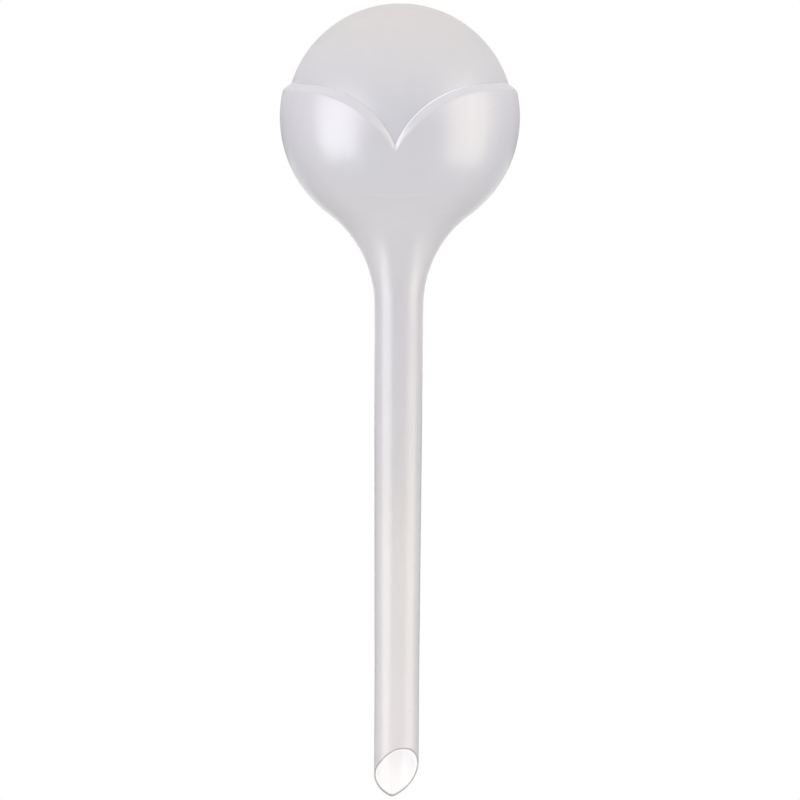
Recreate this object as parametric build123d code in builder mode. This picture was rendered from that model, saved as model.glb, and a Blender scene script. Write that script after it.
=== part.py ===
from build123d import *
import os
from math import cos, radians, sin, sqrt, tan

# Watering globe for a plant pot, in millimetres: a hollow ball held in a cup of three petals, with a long hollow
# stem under the cup that is pushed into the soil. The origin is on the stem's axis at the level of its tip, +Z runs
# up the stem to the globe, and one gap between two petals faces -Y.

# Globe: a hollow ball, open underneath
globe_radius = 37.75
globe_wall = 1.3
globe_height = 233.6
globe_rim_drop = 20.0

# Cup: the globe's spherical seat, which ends in petals
seat_clearance = 0.05
petal_thickness = 2.2
petal_count = 3
petal_rise = 12.2
gap_half_width = 28.0
gap_depth = 18.8
gap_tip_radius = 0.5
bevel_width = 3.0
rim_edge_thickness = 0.35

# Neck and stem: one moulding with the cup, drafted above a parallel end
neck_radius = 38.5
stem_radius = 7.6
stem_wall = 1.0
stem_draft = 0.3
stem_end_length = 45.0

# Mouth: a slanting cut across the stem's end, slightly hollow like a quill's
mouth_slope = 52.7
mouth_turn = 13.0
mouth_hollow_radius = 125.0

# Sizes that follow
seat_radius = globe_radius + seat_clearance
cup_radius = seat_radius + petal_thickness
bore_radius = stem_radius - stem_wall
petal_top = globe_height + petal_rise
gap_foot = petal_top - gap_depth


def flask_section(ball_radius, tube_radius):
    """Half section of a ball on a drafted tube, with the neck's hollow curve between them."""
    tube_growth = (globe_height - stem_end_length) * tan(radians(stem_draft))
    with BuildSketch() as section:
        with Locations((0, globe_height)):
            Circle(ball_radius)
        with BuildLine():
            Polyline(
                (0, 0),
                (tube_radius, 0),
                (tube_radius, stem_end_length),
                (tube_radius + tube_growth, globe_height),
                (0, globe_height),
                close=True,
            )
        make_face()
        split(bisect_by=Plane.YZ)
        ball_meets_tube = section.vertices().sort_by(Axis.X)[-1]
        fillet(ball_meets_tube, neck_radius)
    return section.sketch_local


# Globe: it fills the cup's seat, and its open rim looks down into the neck
with BuildPart() as globe:
    with BuildSketch(Plane.YZ):
        with Locations((0, globe_height)):
            Circle(globe_radius)
            Circle(globe_radius - globe_wall, mode=Mode.SUBTRACT)
        split(bisect_by=Plane.YZ)
        split(bisect_by=Plane.XZ.offset(globe_rim_drop - globe_height), keep=Keep.BOTTOM)
    revolve(axis=Axis.Z)

# The room above and between the petals: in each gap two arcs run down from the petals' level tops to a point
with BuildPart() as petal_room:
    with BuildSketch(Plane.XY.offset(petal_top)):
        Circle(2 * cup_radius)
    extrude(amount=cup_radius)
    with BuildSketch(Plane.XZ) as gap_outline:
        with BuildLine():
            foot = (0, gap_foot)
            left_top = (-gap_half_width, petal_top)
            right_top = (gap_half_width, petal_top)
            TangentArc(left_top, foot, tangent=(1, 0))
            TangentArc(right_top, foot, tangent=(-1, 0))
            above_left = (-gap_half_width, petal_top + gap_depth)
            above_right = (gap_half_width, petal_top + gap_depth)
            Polyline(left_top, above_left, above_right, right_top)
        make_face()
        fillet(gap_outline.vertices().sort_by(Axis.Y)[0], gap_tip_radius)
    front_gap = extrude(amount=2 * cup_radius)
    with PolarLocations(0, petal_count):
        add(front_gap)

# The mouth's cut passes through the stem's tip behind and twice the middle's height in front
mouth_facing = Vector(0, -1, 0).rotate(Axis.Z, mouth_turn)
mouth_plane = Plane((0, 0, 0), x_dir=mouth_facing, z_dir=mouth_facing.cross(Vector(0, 0, 1)))
mouth_middle = stem_radius * tan(radians(mouth_slope))
mouth_half_length = stem_radius / cos(radians(mouth_slope))
hollow_distance = sqrt(mouth_hollow_radius**2 - mouth_half_length**2)
hollow_centre = (
    hollow_distance * sin(radians(mouth_slope)),
    mouth_middle - hollow_distance * cos(radians(mouth_slope)),
)

# Cup, neck and stem in one: the petals are left standing between the gaps, with their rims bevelled outside
with BuildPart() as petal_stem:
    with BuildSketch(Plane.YZ):
        add(flask_section(cup_radius, stem_radius))
        add(flask_section(seat_radius, bore_radius), mode=Mode.SUBTRACT)
    revolve(axis=Axis.Z)
    add(petal_room.part, mode=Mode.SUBTRACT)
    petal_face = petal_stem.faces().filter_by(GeomType.SPHERE).sort_by(SortBy.AREA)[-1]
    outer_rim = petal_face.edges().filter_by(lambda edge: edge.bounding_box().min.Z > gap_foot)
    chamfer(outer_rim, bevel_width, petal_thickness - rim_edge_thickness, reference=petal_face)
    with BuildSketch(mouth_plane):
        with Locations(hollow_centre):
            Circle(mouth_hollow_radius)
    extrude(amount=2 * stem_radius, both=True, mode=Mode.SUBTRACT)

os.makedirs("parts", exist_ok=True)
globe.part.label = "globe"
export_step(globe.part, "parts/globe.step")
petal_stem.part.label = "petal_stem"
export_step(petal_stem.part, "parts/petal_stem.step")
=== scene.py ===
import math

import bpy
import numpy as np
from mathutils import Matrix, Vector


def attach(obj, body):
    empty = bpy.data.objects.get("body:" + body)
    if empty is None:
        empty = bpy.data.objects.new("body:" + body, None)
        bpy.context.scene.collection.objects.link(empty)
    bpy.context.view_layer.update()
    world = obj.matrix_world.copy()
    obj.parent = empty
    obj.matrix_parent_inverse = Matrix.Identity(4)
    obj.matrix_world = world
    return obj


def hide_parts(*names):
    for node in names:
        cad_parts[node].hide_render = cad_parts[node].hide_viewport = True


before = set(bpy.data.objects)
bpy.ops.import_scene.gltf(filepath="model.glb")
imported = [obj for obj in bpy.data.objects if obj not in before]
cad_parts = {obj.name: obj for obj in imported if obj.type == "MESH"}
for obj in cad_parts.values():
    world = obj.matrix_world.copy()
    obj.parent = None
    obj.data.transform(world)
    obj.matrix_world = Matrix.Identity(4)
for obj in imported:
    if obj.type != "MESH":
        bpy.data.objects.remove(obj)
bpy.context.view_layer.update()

# Petal cup, neck and stem
# One thin moulding in natural, milky plastic: a round cup that ends in three petals, a flared neck and a
# long hollow stem. The petals' rims are bevelled outside, and the stem's end is cut slanting, a little
# hollow, like a quill. Lengths are in millimetres until a mesh is made of them.
MM = 0.001
CUP_HEIGHT = 233.6
CUP_RADIUS = 40.0
SEAT_RADIUS = 37.8
CUP_WALL = CUP_RADIUS - SEAT_RADIUS
NECK_RADIUS = 38.5
STEM_RADIUS = 7.6
BORE_RADIUS = 6.6
STEM_DRAFT = math.tan(math.radians(0.3))
STEM_END_LENGTH = 45.0


def neck_arc(ball_radius, tube_radius):
    """Centre (r, z) of the hollow curve between a ball and its drafted tube, and where it meets each."""
    slant = math.hypot(1, STEM_DRAFT)
    offset = tube_radius + NECK_RADIUS * slant - STEM_END_LENGTH * STEM_DRAFT
    a = 1 + STEM_DRAFT**2
    b = 2 * (offset * STEM_DRAFT - CUP_HEIGHT)
    c = offset**2 + CUP_HEIGHT**2 - (ball_radius + NECK_RADIUS) ** 2
    z = (-b - math.sqrt(b * b - 4 * a * c)) / (2 * a)
    r = offset + z * STEM_DRAFT
    on_tube = (r - NECK_RADIUS / slant, z + NECK_RADIUS * STEM_DRAFT / slant)
    share = ball_radius / (ball_radius + NECK_RADIUS)
    on_ball = (r * share, CUP_HEIGHT + (z - CUP_HEIGHT) * share)
    return (r, z), on_tube, on_ball


def tube_radius_at(z, tube_radius):
    """Radius of the stem or its bore: parallel over the stem's end, and drafted above it."""
    return tube_radius + np.maximum(z - STEM_END_LENGTH, 0) * STEM_DRAFT


# The quill cut at the stem's end
MOUTH_SLOPE = math.radians(52.7)
MOUTH_TURN = math.radians(13.0)
MOUTH_HOLLOW = 125.0


def mouth_height(across):
    """Height of the slanting cut at a distance across the stem, towards the side that the mouth faces."""
    middle = STEM_RADIUS * math.tan(MOUTH_SLOPE)
    half_length = STEM_RADIUS / math.cos(MOUTH_SLOPE)
    distance = math.sqrt(MOUTH_HOLLOW**2 - half_length**2)
    centre_across = distance * math.sin(MOUTH_SLOPE)
    centre_height = middle - distance * math.cos(MOUTH_SLOPE)
    return centre_height + np.sqrt(MOUTH_HOLLOW**2 - (across - centre_across) ** 2)


# How far the trimmed edge strays from the true curve: degrees round from the front gap, millimetres up
CUT_STRAY = (
    (-170, -0.7), (-164, -0.66), (-157, -0.4), (-146, 0.0), (-132, 0.24), (-116, 0.28), (-80, -0.4),
    (-46, -1.2), (-18, -0.58), (2, -0.07), (23, 0.2), (41, 0.52), (60, 0.45), (90, 0.3), (119, 0.25),
    (137, 0.15), (150, 0.12), (161, 0.1), (172, -0.1), (182, -0.45),
)
STRAY_BLEND = math.radians(6)
STRAY_BLEND_STEPS = 7


def cut_stray(azimuth):
    """The strays in between, averaged over a few degrees so that the edge has no corners."""
    angles, strays = np.array(CUT_STRAY).T
    near = np.linspace(-STRAY_BLEND, STRAY_BLEND, STRAY_BLEND_STEPS)[:, None]
    return np.interp(azimuth + near, np.radians(angles), strays, period=2 * math.pi).mean(0)


# The petals' rim: in each gap two arcs run down from the level tops and cross in a point
PETALS = 3
PETAL_STEP = 2 * math.pi / PETALS
PETAL_TOP = CUP_HEIGHT + 12.2
GAP_HALF_WIDTH = 28.0
GAP_DEPTH = 18.8
GAP_ARC = (GAP_HALF_WIDTH**2 + GAP_DEPTH**2) / (2 * GAP_DEPTH)
HIGHEST_RIM = 0.6
HALVINGS = 50


def gap_height(sideways):
    """Height of a gap's two arcs at a distance to either side of the gap's middle."""
    inward = np.clip(GAP_HALF_WIDTH - np.abs(sideways), 0, GAP_HALF_WIDTH)
    return PETAL_TOP - GAP_ARC + np.sqrt(GAP_ARC**2 - inward**2)


def rim_elevation(azimuth):
    """Angle above the ball's middle of the petals' rim, at an angle round from a gap's middle."""
    azimuth = np.minimum(azimuth, PETAL_STEP - azimuth)
    low = np.full(azimuth.shape, -HIGHEST_RIM)
    high = np.full(azimuth.shape, HIGHEST_RIM)
    for _ in range(HALVINGS):
        middle = (low + high) / 2
        sideways = SEAT_RADIUS * np.cos(middle) * np.sin(azimuth)
        over = CUP_HEIGHT + SEAT_RADIUS * np.sin(middle) > gap_height(sideways)
        high = np.where(over, middle, high)
        low = np.where(over, low, middle)
    return (low + high) / 2


def on_seat(azimuth, elevation):
    """Points on the ball's seat, counted from the ball's middle."""
    flat = np.cos(elevation)
    return SEAT_RADIUS * np.stack([flat * np.sin(azimuth), -flat * np.cos(azimuth), np.sin(elevation)], -1)


# One petal's rim as points on the seat, run on straight past the notch, where two bevels meet in a soft mitre
RIM_POINTS = 2401
RUN_ON_LENGTH = 12.0
RUN_ON_START = 0.02
RUN_ON_POINTS = 600
round_petal = np.linspace(0, PETAL_STEP, RIM_POINTS)
petal_rim = on_seat(round_petal, rim_elevation(round_petal))
notch = petal_rim[0]
past_notch = petal_rim[0] - petal_rim[3]
past_notch /= np.linalg.norm(past_notch)
run_on = notch + np.linspace(RUN_ON_LENGTH, RUN_ON_START, RUN_ON_POINTS)[:, None] * past_notch
run_on *= SEAT_RADIUS / np.linalg.norm(run_on, axis=1)[:, None]
petal_rim = np.concatenate([run_on, petal_rim])

# The wall dips towards each notch, and the bevel keeps its angle, so that it is narrower there. The bevel's
# outer corner and the rim's edge are slightly round, each with as many rows of points as the bevel
HALF_PETAL_COLUMNS = 60
NOTCH_CROWDING = 1.6
NOTCH_DIP = 1.25
NOTCH_DIP_REACH = 9.0
BEVEL_RISE = 0.8
RIM_ROWS = 9
BEVEL_SEARCH = 0.3
BEVEL_SEARCH_POINTS = 500
BEVEL_ROUNDS = 12
CORNER = 0.5
EDGE_ROUND = 0.7
EDGE_FOOT = -0.25
EDGE_UNDER = -0.5
edge_turn = np.linspace(math.pi / 2, math.atan(BEVEL_RISE), RIM_ROWS)
edge_aways = np.concatenate([[0.0], EDGE_ROUND * (1 - np.sin(edge_turn))])
edge_offs = np.concatenate([[EDGE_UNDER], EDGE_FOOT + EDGE_ROUND * np.cos(edge_turn)])


def wall_at(azimuth, elevation):
    """Thickness of the petals' wall, at an angle round from the nearest gap's middle."""
    away = np.linalg.norm(on_seat(azimuth, elevation) - notch, axis=-1)
    return CUP_WALL - NOTCH_DIP * np.exp(-((away / NOTCH_DIP_REACH) ** 2))


def rim_column(azimuth):
    """Down a petal at one azimuth, from its rim to below the bevel: elevations, stand-offs from the seat."""
    down = rim_elevation(np.array([azimuth]))[0] - np.linspace(0, BEVEL_SEARCH, BEVEL_SEARCH_POINTS)
    line = on_seat(np.full(down.shape, azimuth), down)
    squared = ((line[:, None] - petal_rim[None]) ** 2).sum(2)
    reached = (squared.min(1) * squared[:, len(run_on):].min(1)) ** 0.25
    reached[0] = 0
    reached = np.maximum.accumulate(reached)
    edge_away, edge_off = edge_aways[-1], edge_offs[-1]
    width = edge_away + (CUP_WALL - edge_off) / BEVEL_RISE
    for _ in range(BEVEL_ROUNDS):
        below_bevel = np.interp(width + CORNER, reached, down)
        width = edge_away + (wall_at(azimuth, below_bevel) - edge_off) / BEVEL_RISE
    bevel = np.linspace(edge_away, width - CORNER, RIM_ROWS)[1:]
    corner = np.linspace(0, 1, RIM_ROWS)[1:]
    away = np.concatenate([edge_aways, bevel, width + CORNER * (2 * corner - 1)])
    off = np.concatenate([
        edge_offs,
        edge_off + (bevel - edge_away) * BEVEL_RISE,
        edge_off + (width - edge_away - CORNER * (1 - corner) ** 2) * BEVEL_RISE,
    ])
    return np.interp(away, reached, down), off


def round_cup(half_petal):
    """What holds from a gap's middle to a petal's middle, mirrored and repeated for all the petals."""
    petal = np.concatenate([half_petal[:-1], half_petal[:0:-1]])
    return np.concatenate([petal] * PETALS)


half = PETAL_STEP / 2 * np.linspace(0, 1, HALF_PETAL_COLUMNS + 1) ** NOTCH_CROWDING
half_downs, half_offs = np.array([rim_column(azimuth) for azimuth in half]).transpose(1, 0, 2)
petal_azimuths = np.concatenate([half[:-1], PETAL_STEP - half[:0:-1]])
azimuths = np.concatenate([petal_azimuths + k * PETAL_STEP for k in range(PETALS)])
columns = len(azimuths)
from_gap = round_cup(half)
rim_offs = round_cup(half_offs)

# The moulding stands a little askew: of the two front petals one is higher and the other is lower
RIM_LEAN = math.radians(0.5)
from_front = np.mod(azimuths + math.pi, 2 * math.pi) - math.pi
on_front_petals = np.abs(from_front) < PETAL_STEP
lean = np.where(on_front_petals, RIM_LEAN * np.sin(PETALS / 2 * from_front), 0)
rim_downs = round_cup(half_downs) + lean[:, None]

rows = []


def ring(r, z):
    """One ring of points round the stem's axis. Angles count from the front gap, which faces -Y."""
    r = np.broadcast_to(r, (columns,))
    z = np.broadcast_to(z, (columns,))
    rows.append(np.stack([r * np.sin(azimuths), -r * np.cos(azimuths), z], 1))


# Outside, from the mouth's edge up to the rim
CUT_EDGE = 0.08
MOUTH_TOP = 30.0
MOUTH_ROWS = 26
MOUTH_CROWDING = 1.5
STEM_ROWS = 44
NECK_ROWS = 34
CUP_ROWS = 44
facing = np.cos(azimuths - MOUTH_TURN)
stray = cut_stray(azimuths)
outer_cut = mouth_height(STEM_RADIUS * facing) + stray + CUT_EDGE
for share in np.linspace(0, 1, MOUTH_ROWS) ** MOUTH_CROWDING:
    z = outer_cut + share * (MOUTH_TOP - outer_cut)
    ring(tube_radius_at(z, STEM_RADIUS), z)
(neck_r, neck_z), (tube_r, tube_z), (ball_r, ball_z) = neck_arc(CUP_RADIUS, STEM_RADIUS)
for z in np.linspace(MOUTH_TOP, tube_z, STEM_ROWS)[1:-1]:
    ring(tube_radius_at(z, STEM_RADIUS), z)
start = math.atan2(tube_z - neck_z, tube_r - neck_r)
end = math.atan2(ball_z - neck_z, ball_r - neck_r)
for t in np.linspace(start, end, NECK_ROWS)[:-1]:
    ring(neck_r + NECK_RADIUS * math.cos(t), neck_z + NECK_RADIUS * math.sin(t))
ball_low = math.asin((ball_z - CUP_HEIGHT) / CUP_RADIUS)
for share in np.linspace(0, 1, CUP_ROWS)[:-1]:
    up = ball_low + share * (rim_downs[:, -1] - ball_low)
    r = SEAT_RADIUS + wall_at(from_gap, up - lean)
    ring(r * np.cos(up), CUP_HEIGHT + r * np.sin(up))
first_rim_row = len(rows)
for up, off in zip(rim_downs.T[::-1], rim_offs.T[::-1]):
    r = SEAT_RADIUS + off
    ring(r * np.cos(up), CUP_HEIGHT + r * np.sin(up))

# Inside, from the rim down the seat, the neck and the bore to the mouth, and across the cut wall
SEAT_ROWS = 18
NECK_INSIDE_ROWS = 15
BORE_ROWS = 30
CUT_ROWS = 4
BRIGHT_CUT_ROWS = 2
first_inside_row = len(rows)
(neck_r, neck_z), (tube_r, tube_z), (ball_r, ball_z) = neck_arc(SEAT_RADIUS, BORE_RADIUS)
neck_top = ball_z
ball_low = math.asin((ball_z - CUP_HEIGHT) / SEAT_RADIUS)
for share in np.linspace(0, 1, SEAT_ROWS)[1:]:
    up = rim_downs[:, 0] + share * (ball_low - rim_downs[:, 0])
    ring(SEAT_RADIUS * np.cos(up), CUP_HEIGHT + SEAT_RADIUS * np.sin(up))
start = math.atan2(ball_z - neck_z, ball_r - neck_r)
end = math.atan2(tube_z - neck_z, tube_r - neck_r)
for t in np.linspace(start, end, NECK_INSIDE_ROWS)[1:]:
    ring(neck_r + NECK_RADIUS * math.cos(t), neck_z + NECK_RADIUS * math.sin(t))
for z in np.linspace(tube_z, MOUTH_TOP, BORE_ROWS)[1:]:
    ring(tube_radius_at(z, BORE_RADIUS), z)
inner_cut = mouth_height(BORE_RADIUS * facing) + stray + CUT_EDGE
for share in np.linspace(1, 0, MOUTH_ROWS)[1:] ** MOUTH_CROWDING:
    z = inner_cut + share * (MOUTH_TOP - inner_cut)
    ring(tube_radius_at(z, BORE_RADIUS), z)
first_cut_row = len(rows)
for r in np.linspace(BORE_RADIUS + CUT_EDGE, STEM_RADIUS - CUT_EDGE, CUT_ROWS):
    ring(r, mouth_height(r * facing) + stray)


def band_faces(rows_made, columns_made, closed):
    """Faces between each ring and the next one, and for a closed skin between the last and the first."""
    at = np.arange(columns_made)
    beside = (at + 1) % columns_made
    bands = []
    for k in range(rows_made if closed else rows_made - 1):
        low = k * columns_made
        high = (k + 1) % rows_made * columns_made
        bands.append(np.stack([low + at, low + beside, high + beside, high + at], 1))
    return np.concatenate(bands).tolist()


def smooth_piece(name, points, faces):
    """An object with a smooth mesh, made of points in millimetres."""
    mesh = bpy.data.meshes.new(name)
    mesh.from_pydata((points * MM).tolist(), [], faces)
    mesh.shade_smooth()
    made = bpy.data.objects.new(name, mesh)
    bpy.context.scene.collection.objects.link(made)
    return made


petal_faces = band_faces(len(rows), columns, True)
petal_cup = smooth_piece("petal_cup_and_stem", np.concatenate(rows), petal_faces)

# Masks for painted light and shade: a painted glow where the rim's wall is thin, a painted glint along the
# rim's edge on one side of each gap, painted light inside, and painted shade on the cut wall at the mouth
GLINT_STAND_OFF = 0.42
GLINT_BLEND = 0.08
GLINT_END = math.radians(48)
GLINT_FADE = math.radians(20)
masks = {}
for name in ("thin_rim_painted_glow", "rim_painted_glint", "inside_painted_light", "cut_face_painted_shade"):
    masks[name] = np.zeros((len(rows), columns), np.float32)
rim_rows = slice(first_rim_row, first_inside_row)
rim_row_offs = rim_offs.T[::-1]
# painted glow: the rim is made brighter where its wall is thin
masks["thin_rim_painted_glow"][rim_rows] = 1 - np.clip(rim_row_offs / CUP_WALL, 0, 1)
# painted glint: a bright thread on the rim's edge, on one side of each gap only
masks["rim_painted_glint"][rim_rows] = np.clip((GLINT_STAND_OFF - rim_row_offs) / GLINT_BLEND, 0, 1)
masks["rim_painted_glint"] *= np.clip((GLINT_END - np.mod(azimuths, PETAL_STEP)) / GLINT_FADE, 0, 1)
# painted light: the inside and the cut's inner rows are made bright, as if lit through the wall
masks["inside_painted_light"][first_inside_row:first_cut_row + BRIGHT_CUT_ROWS] = 1
# painted shade: the rest of the cut wall is made dark
masks["cut_face_painted_shade"][first_cut_row + BRIGHT_CUT_ROWS:] = 1
masks["cut_face_painted_shade"][0] = 1
for name, mask in masks.items():
    petal_cup.data.attributes.new(name, "FLOAT", "POINT").data.foreach_set("value", mask.ravel())

# Cloudy shade, faint flow streaks down the moulding, a few dark specks and a slight ripple, shared by both
# mouldings
detail = bpy.data.node_groups.new("milky_plastic_detail", "ShaderNodeTree")
for in_out, name, kind in (
    ("INPUT", "Base", "NodeSocketColor"),
    ("INPUT", "Clouding", "NodeSocketFloat"),
    ("INPUT", "Streaks", "NodeSocketFloat"),
    ("INPUT", "Specks", "NodeSocketFloat"),
    ("INPUT", "Roughness", "NodeSocketFloat"),
    ("OUTPUT", "Color", "NodeSocketColor"),
    ("OUTPUT", "Roughness", "NodeSocketFloat"),
    ("OUTPUT", "Height", "NodeSocketFloat"),
):
    detail.interface.new_socket(name, in_out=in_out, socket_type=kind)


def join(tree, value, socket):
    """Links another node's socket to a socket, or sets a plain value on it."""
    if isinstance(value, bpy.types.NodeSocket):
        tree.links.new(value, socket)
    else:
        socket.default_value = value


def add_node(tree, kind, settings=(), numbered=(), **named):
    """A node with its settings made, and its sockets joined by their number or by their name."""
    node = tree.nodes.new(kind)
    for key, value in dict(settings).items():
        setattr(node, key, value)
    for k, value in enumerate(numbered):
        join(tree, value, node.inputs[k])
    for key, value in named.items():
        join(tree, value, node.inputs[key.replace("_", " ")])
    return node


def add_math(tree, operation, *values):
    return add_node(tree, "ShaderNodeMath", {"operation": operation}, values).outputs[0]


given = detail.nodes.new("NodeGroupInput").outputs
place = add_node(detail, "ShaderNodeTexCoord").outputs["Object"]
cloud = add_node(detail, "ShaderNodeTexNoise", Vector=place, Scale=26.0, Detail=2.0).outputs["Fac"]
drawn_out = add_node(detail, "ShaderNodeMapping", Vector=place, Scale=(1, 1, 0.05)).outputs[0]
streak = add_node(detail, "ShaderNodeTexNoise", Vector=drawn_out, Scale=330.0, Detail=2.0).outputs["Fac"]
SPECK_SIZE = 0.022
cell = add_node(detail, "ShaderNodeTexVoronoi", Vector=place, Scale=70.0)
speck = add_math(detail, "LESS_THAN", cell.outputs["Distance"], SPECK_SIZE)
grain = add_node(detail, "ShaderNodeTexNoise", Vector=place, Scale=1500.0, Detail=1.0).outputs["Fac"]
ripple = add_node(detail, "ShaderNodeTexNoise", Vector=place, Scale=85.0, Detail=1.0).outputs["Fac"]
clouded = add_math(detail, "MULTIPLY", add_math(detail, "SUBTRACT", cloud, 0.5), given["Clouding"])
streaked = add_math(detail, "MULTIPLY", add_math(detail, "SUBTRACT", streak, 0.5), given["Streaks"])
shade = add_math(detail, "ADD", add_math(detail, "ADD", clouded, streaked), 1.0)
shade = add_math(detail, "SUBTRACT", shade, add_math(detail, "MULTIPLY", speck, given["Specks"]))
tinted = add_node(detail, "ShaderNodeVectorMath", {"operation": "SCALE"}, Vector=given["Base"], Scale=shade)
GRAIN_IN_ROUGHNESS = 0.08
GRAIN_IN_HEIGHT = 0.02
uneven = add_math(detail, "SUBTRACT", grain, 0.5)
rough = add_math(detail, "MULTIPLY_ADD", uneven, GRAIN_IN_ROUGHNESS, given["Roughness"])
height = add_math(detail, "MULTIPLY_ADD", grain, GRAIN_IN_HEIGHT, ripple)
passed = detail.nodes.new("NodeGroupOutput").inputs
detail.links.new(tinted.outputs[0], passed["Color"])
detail.links.new(rough, passed["Roughness"])
detail.links.new(height, passed["Height"])


def milky_plastic(name, base, rough, gloss):
    """Satin, translucent plastic: light spreads through the wall, and the gloss is wide and soft."""
    made = bpy.data.materials.new(name)
    made.use_nodes = True
    tree = made.node_tree
    shader = tree.nodes["Principled BSDF"]
    shader.inputs["Subsurface Weight"].default_value = 1.0
    shader.inputs["Subsurface Radius"].default_value = (1, 1, 1)
    shader.inputs["Subsurface Scale"].default_value = 0.4 * MM
    shader.inputs["Specular IOR Level"].default_value = gloss
    look = add_node(tree, "ShaderNodeGroup", {"node_tree": detail}, Clouding=0.05, Streaks=0.03, Specks=0.18)
    join(tree, base(tree), look.inputs["Base"])
    join(tree, rough(tree) if callable(rough) else rough, look.inputs["Roughness"])
    tree.links.new(look.outputs["Color"], shader.inputs["Base Color"])
    tree.links.new(look.outputs["Roughness"], shader.inputs["Roughness"])
    bump = add_node(tree, "ShaderNodeBump", Strength=0.5, Distance=0.04 * MM, Height=look.outputs["Height"])
    tree.links.new(bump.outputs[0], shader.inputs["Normal"])
    return made


def ramp(tree, along, stops):
    """Colours or greys that change evenly from one stop to the next."""
    low, high = stops[0][0], stops[-1][0]
    share = add_node(tree, "ShaderNodeMapRange", Value=along, From_Min=low, From_Max=high).outputs[0]
    made = add_node(tree, "ShaderNodeValToRGB", Fac=share)
    elements = made.color_ramp.elements
    while len(elements) < len(stops):
        elements.new(0.5)
    for element, (spot, colour) in zip(elements, stops):
        element.position = (spot - low) / (high - low)
        element.color = (*colour, 1) if isinstance(colour, tuple) else (colour, colour, colour, 1)
    return made.outputs["Color"]


def place_on_piece(tree):
    """X, Y and Z in metres from the stem's tip."""
    place = add_node(tree, "ShaderNodeTexCoord").outputs["Object"]
    return add_node(tree, "ShaderNodeSeparateXYZ", Vector=place).outputs


def by_height(tree, *stops):
    """Colours or greys that change with the height in metres above the stem's tip."""
    return ramp(tree, place_on_piece(tree)["Z"], stops)


def mixed(tree, share, first, second):
    """A mix of two colours, each a socket or plain red, green and blue."""
    node = add_node(tree, "ShaderNodeMix", {"data_type": "RGBA"}, [share])
    for value, socket in ((first, node.inputs[6]), (second, node.inputs[7])):
        join(tree, value if isinstance(value, bpy.types.NodeSocket) else (*value, 1), socket)
    return node.outputs[2]


# A faint, lighter curved line across the cup's front, in metres
FRONT_ARC_HEIGHT = 0.21
FRONT_ARC_RISE = 9.3
FRONT_ARC_HALF_WIDTH = 0.0006
FRONT_ARC_FADE = 0.0095
FRONT_ARC_END = 0.0122


def front_arc(tree):
    """How strongly the lighter line shows: it rises with the square of the distance from the cup's middle."""
    place = place_on_piece(tree)
    squared = add_math(tree, "MULTIPLY", place["X"], place["X"])
    middle = add_math(tree, "MULTIPLY_ADD", squared, FRONT_ARC_RISE, FRONT_ARC_HEIGHT)
    off_line = add_math(tree, "ABSOLUTE", add_math(tree, "SUBTRACT", place["Z"], middle))
    off_middle = add_math(tree, "ABSOLUTE", place["X"])
    line = add_node(tree, "ShaderNodeMapRange", Value=off_line, From_Min=FRONT_ARC_HALF_WIDTH, From_Max=0.0)
    ends = add_node(
        tree, "ShaderNodeMapRange", Value=off_middle, From_Min=FRONT_ARC_END, From_Max=FRONT_ARC_FADE
    )
    in_front = add_math(tree, "LESS_THAN", place["Y"], 0.0)
    in_front = add_math(tree, "MULTIPLY", ends.outputs[0], in_front)
    return add_math(tree, "MULTIPLY", line.outputs[0], in_front)


def cup_base(tree):
    """Grey, changing a little with height; painted light on the thin rims, one rim edge per gap and the bore,
    painted shade on the cut.
    """
    shade = by_height(
        tree,
        (0.02, (0.545, 0.536, 0.56)),
        (0.055, (0.526, 0.525, 0.545)),
        (0.105, (0.54, 0.533, 0.545)),
        (0.15, (0.555, 0.549, 0.57)),
        (0.172, (0.564, 0.556, 0.58)),
        (0.193, (0.564, 0.555, 0.574)),
        (0.208, (0.574, 0.564, 0.587)),
        (0.222, (0.58, 0.58, 0.609)),
        (0.236, (0.58, 0.573, 0.603)),
    )
    shade = mixed(tree, front_arc(tree), shade, (0.6, 0.591, 0.62))
    # in order: painted glow, painted glint, painted light inside, painted shade on the cut
    for name, colour in (
        ("thin_rim_painted_glow", (0.6, 0.588, 0.61)),
        ("rim_painted_glint", (0.84, 0.82, 0.83)),
        ("inside_painted_light", (0.79, 0.79, 0.805)),
        ("cut_face_painted_shade", (0.37, 0.36, 0.37)),
    ):
        mask = add_node(tree, "ShaderNodeAttribute", {"attribute_name": name}).outputs["Fac"]
        shade = mixed(tree, mask, shade, colour)
    return shade


def cup_rough(tree):
    """The stem and the cup's belly are smooth. The neck between them and the petals are coarser."""
    return by_height(tree, (0.173, 0.3), (0.187, 0.38), (0.2, 0.3), (0.22, 0.3), (0.232, 0.36))


# The neck and the stem are also a little less glossy than the cup
CUP_GLOSS = 0.5
STEM_GLOSS = 0.31
petal_cup.data.materials.append(milky_plastic("milky_plastic_cup", cup_base, cup_rough, CUP_GLOSS))
petal_cup.data.materials.append(milky_plastic("milky_plastic_stem", cup_base, cup_rough, STEM_GLOSS))
face_heights = np.concatenate(rows)[:, 2][np.array(petal_faces)].mean(1)
petal_cup.data.polygons.foreach_set("material_index", (face_heights < neck_top).astype(np.int32))
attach(petal_cup, "root")
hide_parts("petal_stem")

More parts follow.
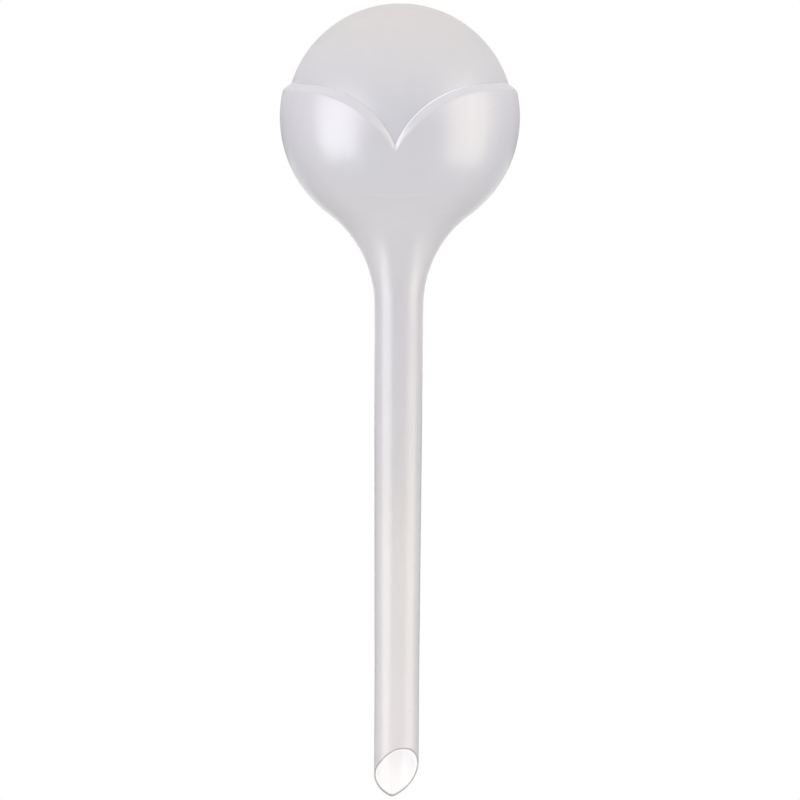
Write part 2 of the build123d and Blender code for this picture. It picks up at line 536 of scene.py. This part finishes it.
# Globe
# A thin hollow ball of the same plastic, open underneath, bonded in the cup's seat. Its top stands above
# the petals, where light comes through one wall only, so that it looks paler than the cup.
GLOBE_HEIGHT = 233.4
GLOBE_RADIUS = 37.9
GLOBE_WALL = 1.3
GLOBE_RIM_DROP = 20.0
GLOBE_ROUGHNESS = 0.36
GLOBE_COLUMNS = 256
GLOBE_ROWS = 110
GLOBE_INSIDE_ROWS = 90
POLE = 0.02
columns = GLOBE_COLUMNS
azimuths = np.linspace(0, 2 * math.pi, columns, endpoint=False)
rows = []
for wall_radius, start, end, count in (
    (GLOBE_RADIUS - GLOBE_WALL, 1, 0, GLOBE_INSIDE_ROWS),
    (GLOBE_RADIUS, 0, 1, GLOBE_ROWS),
):
    lowest = math.asin(-GLOBE_RIM_DROP / wall_radius)
    highest = math.acos(POLE / wall_radius)
    for share in np.linspace(start, end, count):
        up = lowest + share * (highest - lowest)
        ring(wall_radius * math.cos(up), GLOBE_HEIGHT + wall_radius * math.sin(up))
faces = band_faces(len(rows), columns, False)
faces.append(list(range(columns))[::-1])
faces.append(list(range((len(rows) - 1) * columns, len(rows) * columns)))
globe = smooth_piece("globe_shell", np.concatenate(rows), faces)


def globe_base(tree):
    """Painted light and shade by height: bluish between the petals, paler just above them, darker and warm at
    the top.
    """
    return by_height(
        tree,
        (0.231, (0.552, 0.556, 0.592)),
        (0.241, (0.553, 0.552, 0.581)),
        (0.254, (0.57, 0.56, 0.575)),
        (0.269, (0.556, 0.538, 0.53)),
    )


globe.data.materials.append(milky_plastic("milky_plastic_globe", globe_base, GLOBE_ROUGHNESS, CUP_GLOSS))
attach(globe, "root")
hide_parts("globe")

# Floor
# A wide sheet of white card just under the stem's tip. It is lit to plain white, and leaves no shadow and no
# reflection on the plastic.
FLOOR_HALF = 4.0
FLOOR_HEIGHT = -1.0 * MM
floor_corners = [(-1, -1), (1, -1), (1, 1), (-1, 1)]
floor_points = [(x * FLOOR_HALF, y * FLOOR_HALF, FLOOR_HEIGHT) for x, y in floor_corners]
floor_mesh = bpy.data.meshes.new("floor")
floor_mesh.from_pydata(floor_points, [], [(0, 1, 2, 3)])
floor = bpy.data.objects.new("floor", floor_mesh)
bpy.context.scene.collection.objects.link(floor)
white_card = bpy.data.materials.new("white_card")
white_card.use_nodes = True
shader = white_card.node_tree.nodes["Principled BSDF"]
shader.inputs["Roughness"].default_value = 1.0
shader.inputs["Specular IOR Level"].default_value = 0.0
shader.inputs["Emission Color"].default_value = (1, 1, 1, 1)
looked_at = add_node(white_card.node_tree, "ShaderNodeLightPath").outputs["Is Camera Ray"]
card_colour = mixed(white_card.node_tree, looked_at, (0.92, 0.92, 0.92), (0, 0, 0))
white_card.node_tree.links.new(card_colour, shader.inputs["Base Color"])
white_card.node_tree.links.new(looked_at, shader.inputs["Emission Strength"])
floor.data.materials.append(white_card)
floor.visible_glossy = False
floor.visible_shadow = False

# Studio room
# White walls that light the plastic evenly, more from above, with a plain white backdrop. In the gloss the
# room is dim along the horizon, and black behind the object and below it, so that its outline is darker.
BEHIND_FULLY = 0.6
FLAG_LEVEL = -0.42
FLAG_HALF_HEIGHT = 0.3
FLAG_END = 0.48
FRONT_BOOST = 0.13
world = bpy.data.worlds.new("studio")
bpy.context.scene.world = world
world.use_nodes = True
room = world.node_tree
room.nodes.clear()
looking = add_node(room, "ShaderNodeTexCoord").outputs["Generated"]
way = add_node(room, "ShaderNodeSeparateXYZ", Vector=looking).outputs
mirrored = ramp(
    room, way["Z"], [(-1.0, 0.63), (-0.76, 0.63), (-0.62, 0.35), (-0.04, 0.3), (0.1, 0.55), (1.0, 0.7)]
)
SMOOTH = {"interpolation_type": "SMOOTHSTEP"}
behind = add_node(room, "ShaderNodeMapRange", SMOOTH, Value=way["Y"], From_Min=0.0, From_Max=BEHIND_FULLY)
off_level = add_math(room, "ABSOLUTE", add_math(room, "SUBTRACT", way["Z"], FLAG_LEVEL))
past_flag = add_node(
    room, "ShaderNodeMapRange", SMOOTH, Value=off_level, From_Min=FLAG_HALF_HEIGHT, From_Max=FLAG_END
)
at_level = add_math(room, "SUBTRACT", 1.0, past_flag.outputs[0])
flags = add_math(room, "MULTIPLY", behind.outputs[0], at_level)
mirrored = mixed(room, flags, mirrored, (0, 0, 0))
across = add_math(room, "MULTIPLY_ADD", way["X"], 0.5, 0.5)
walls = mixed(room, across, (1.042, 1.038, 1.06), (1.042, 1.022, 0.985))
walls = mixed(room, add_math(room, "MAXIMUM", way["Z"], 0.0), walls, (1.46, 1.438, 1.45))
above_floor = add_math(room, "GREATER_THAN", way["Z"], 0.0)
from_the_front = add_math(room, "MULTIPLY_ADD", way["Y"], -FRONT_BOOST, 1.0)
wall_strength = add_math(room, "MULTIPLY", above_floor, from_the_front)
path = add_node(room, "ShaderNodeLightPath").outputs
spread = add_node(room, "ShaderNodeBackground", Color=walls, Strength=wall_strength).outputs[0]
gloss = add_node(room, "ShaderNodeBackground", Color=mirrored).outputs[0]
seen = add_node(room, "ShaderNodeBackground", Color=(1, 1, 1, 1), Strength=1.0).outputs[0]
lit = add_node(room, "ShaderNodeMixShader", (), [path["Is Glossy Ray"], spread, gloss]).outputs[0]
blend = add_node(room, "ShaderNodeMixShader", (), [path["Is Camera Ray"], lit, seen]).outputs[0]
add_node(room, "ShaderNodeOutputWorld", Surface=blend)

# Softboxes and cards
# Two tall softboxes beside the camera give the wide highlights on the petals and the stripes down the stem.
# Small cards close to the object light what these don't reach, and are seen in the plastic's gloss alone.
CAMERA_AZIMUTH = 2.3
PLAIN = (1.0, 1.0, 1.0)
COOL = (0.97, 0.97, 1.0)
WARM = (1.0, 0.95, 0.82)
GRID = math.radians(60)


def softbox(name, azimuth, distance, low, high, width, radiance, colour, tilt=0.0, grid=math.pi):
    """An evenly lit sheet that faces the stem's axis, tilted up in degrees. A grid narrows its light."""
    light = bpy.data.lights.new(name, "AREA")
    light.shape = "RECTANGLE"
    light.size = width
    light.size_y = high - low
    light.energy = radiance * math.pi * width * (high - low)
    light.color = colour
    light.spread = grid
    made = bpy.data.objects.new(name, light)
    a = math.radians(CAMERA_AZIMUTH + azimuth)
    made.location = (distance * math.sin(a), -distance * math.cos(a), (low + high) / 2)
    to_axis = Vector((made.location.x, made.location.y, 0)).to_track_quat("Z", "Y").to_matrix().to_4x4()
    made.rotation_euler = (to_axis @ Matrix.Rotation(math.radians(tilt), 4, "X")).to_euler()
    made.visible_diffuse = False
    made.visible_camera = False
    bpy.context.scene.collection.objects.link(made)
    return made


# Azimuth from the camera in degrees, then distance, lower edge, upper edge and width in metres, and radiance
softbox("softbox_left", -58.2, 0.6, -0.122, 0.47, 0.54, 7.4, COOL)
softbox("softbox_right", 68.5, 0.6, -0.19, 0.6, 0.52, 5.1, (1.0, 0.91, 0.75))
# behind the cup, for the lighter line along its lower outline
softbox("back_card", 180, 0.18, 0.11, 0.15, 0.22, 0.75, PLAIN)
softbox("side_card_left", -152, 0.2, 0.13, 0.185, 0.12, 0.7, PLAIN)
softbox("side_card_right", 152, 0.2, 0.13, 0.185, 0.12, 0.7, PLAIN)
# two narrow strips in front of the stem brighten its middle, the lower one more and warmer, and give no gloss
strips = [
    softbox("strip_low", 0, 0.05, -0.03, 0.1, 0.02, 1.68, (1.0, 0.87, 0.64)),
    softbox("strip_high", 0, 0.05, 0.1, 0.185, 0.02, 0.22, (1.0, 0.95, 0.9)),
]
for strip in strips:
    strip.visible_diffuse = True
    strip.visible_glossy = False
# two under the cup start the stem's stripes in the neck, and one carries the left stripe on to the mouth
softbox("neck_card_left", -57, 0.0286, 0.158, 0.1688, 0.018, 1.5, COOL, tilt=43, grid=GRID)
softbox("neck_card_right", 66, 0.0286, 0.158, 0.1688, 0.018, 1.1, WARM, tilt=43, grid=GRID)
softbox("low_card", -58.2, 0.15, -0.1, 0.0, 0.135, 0.5, COOL, tilt=25, grid=GRID)
# a small lamp in the bore stands for the light that comes through the stem's thin wall behind the mouth
BORE_FILL_HEIGHT = 0.028
BORE_FILL_RADIUS = 0.002
BORE_FILL_WATTS = 0.0017
fill = bpy.data.lights.new("bore_fill", "POINT")
fill.shadow_soft_size = BORE_FILL_RADIUS
fill.energy = BORE_FILL_WATTS
bore_fill = bpy.data.objects.new("bore_fill", fill)
bore_fill.location = (0, 0, BORE_FILL_HEIGHT)
bore_fill.visible_glossy = False
bore_fill.visible_camera = False
bpy.context.scene.collection.objects.link(bore_fill)

# Camera
# A long lens a little above the globe's top, looking slightly down.
PHOTO_SIDE = 800
FOCAL_PIXELS = 3588.6
SENSOR_WIDTH = 36
CAMERA_DISTANCE = 1.1973
CAMERA_HEIGHT = 0.3089
CAMERA_PAN = math.radians(0.0265)
CAMERA_PITCH = math.radians(8.104)
CAMERA_ROLL = math.radians(0.314)
camera = bpy.data.objects.new("camera", bpy.data.cameras.new("camera"))
bpy.context.scene.collection.objects.link(camera)
camera.data.sensor_width = SENSOR_WIDTH
camera.data.lens = FOCAL_PIXELS / PHOTO_SIDE * SENSOR_WIDTH
camera.data.clip_end = 50
a = math.radians(CAMERA_AZIMUTH)
stand = Matrix.Translation((CAMERA_DISTANCE * math.sin(a), -CAMERA_DISTANCE * math.cos(a), CAMERA_HEIGHT))
turn = Matrix.Rotation(a - CAMERA_PAN, 4, "Z")
tilt = Matrix.Rotation(math.pi / 2 - CAMERA_PITCH, 4, "X")
roll = Matrix.Rotation(CAMERA_ROLL, 4, "Z")
camera.matrix_world = stand @ turn @ tilt @ roll
bpy.context.scene.camera = camera
bpy.context.scene.view_settings.view_transform = "Standard"
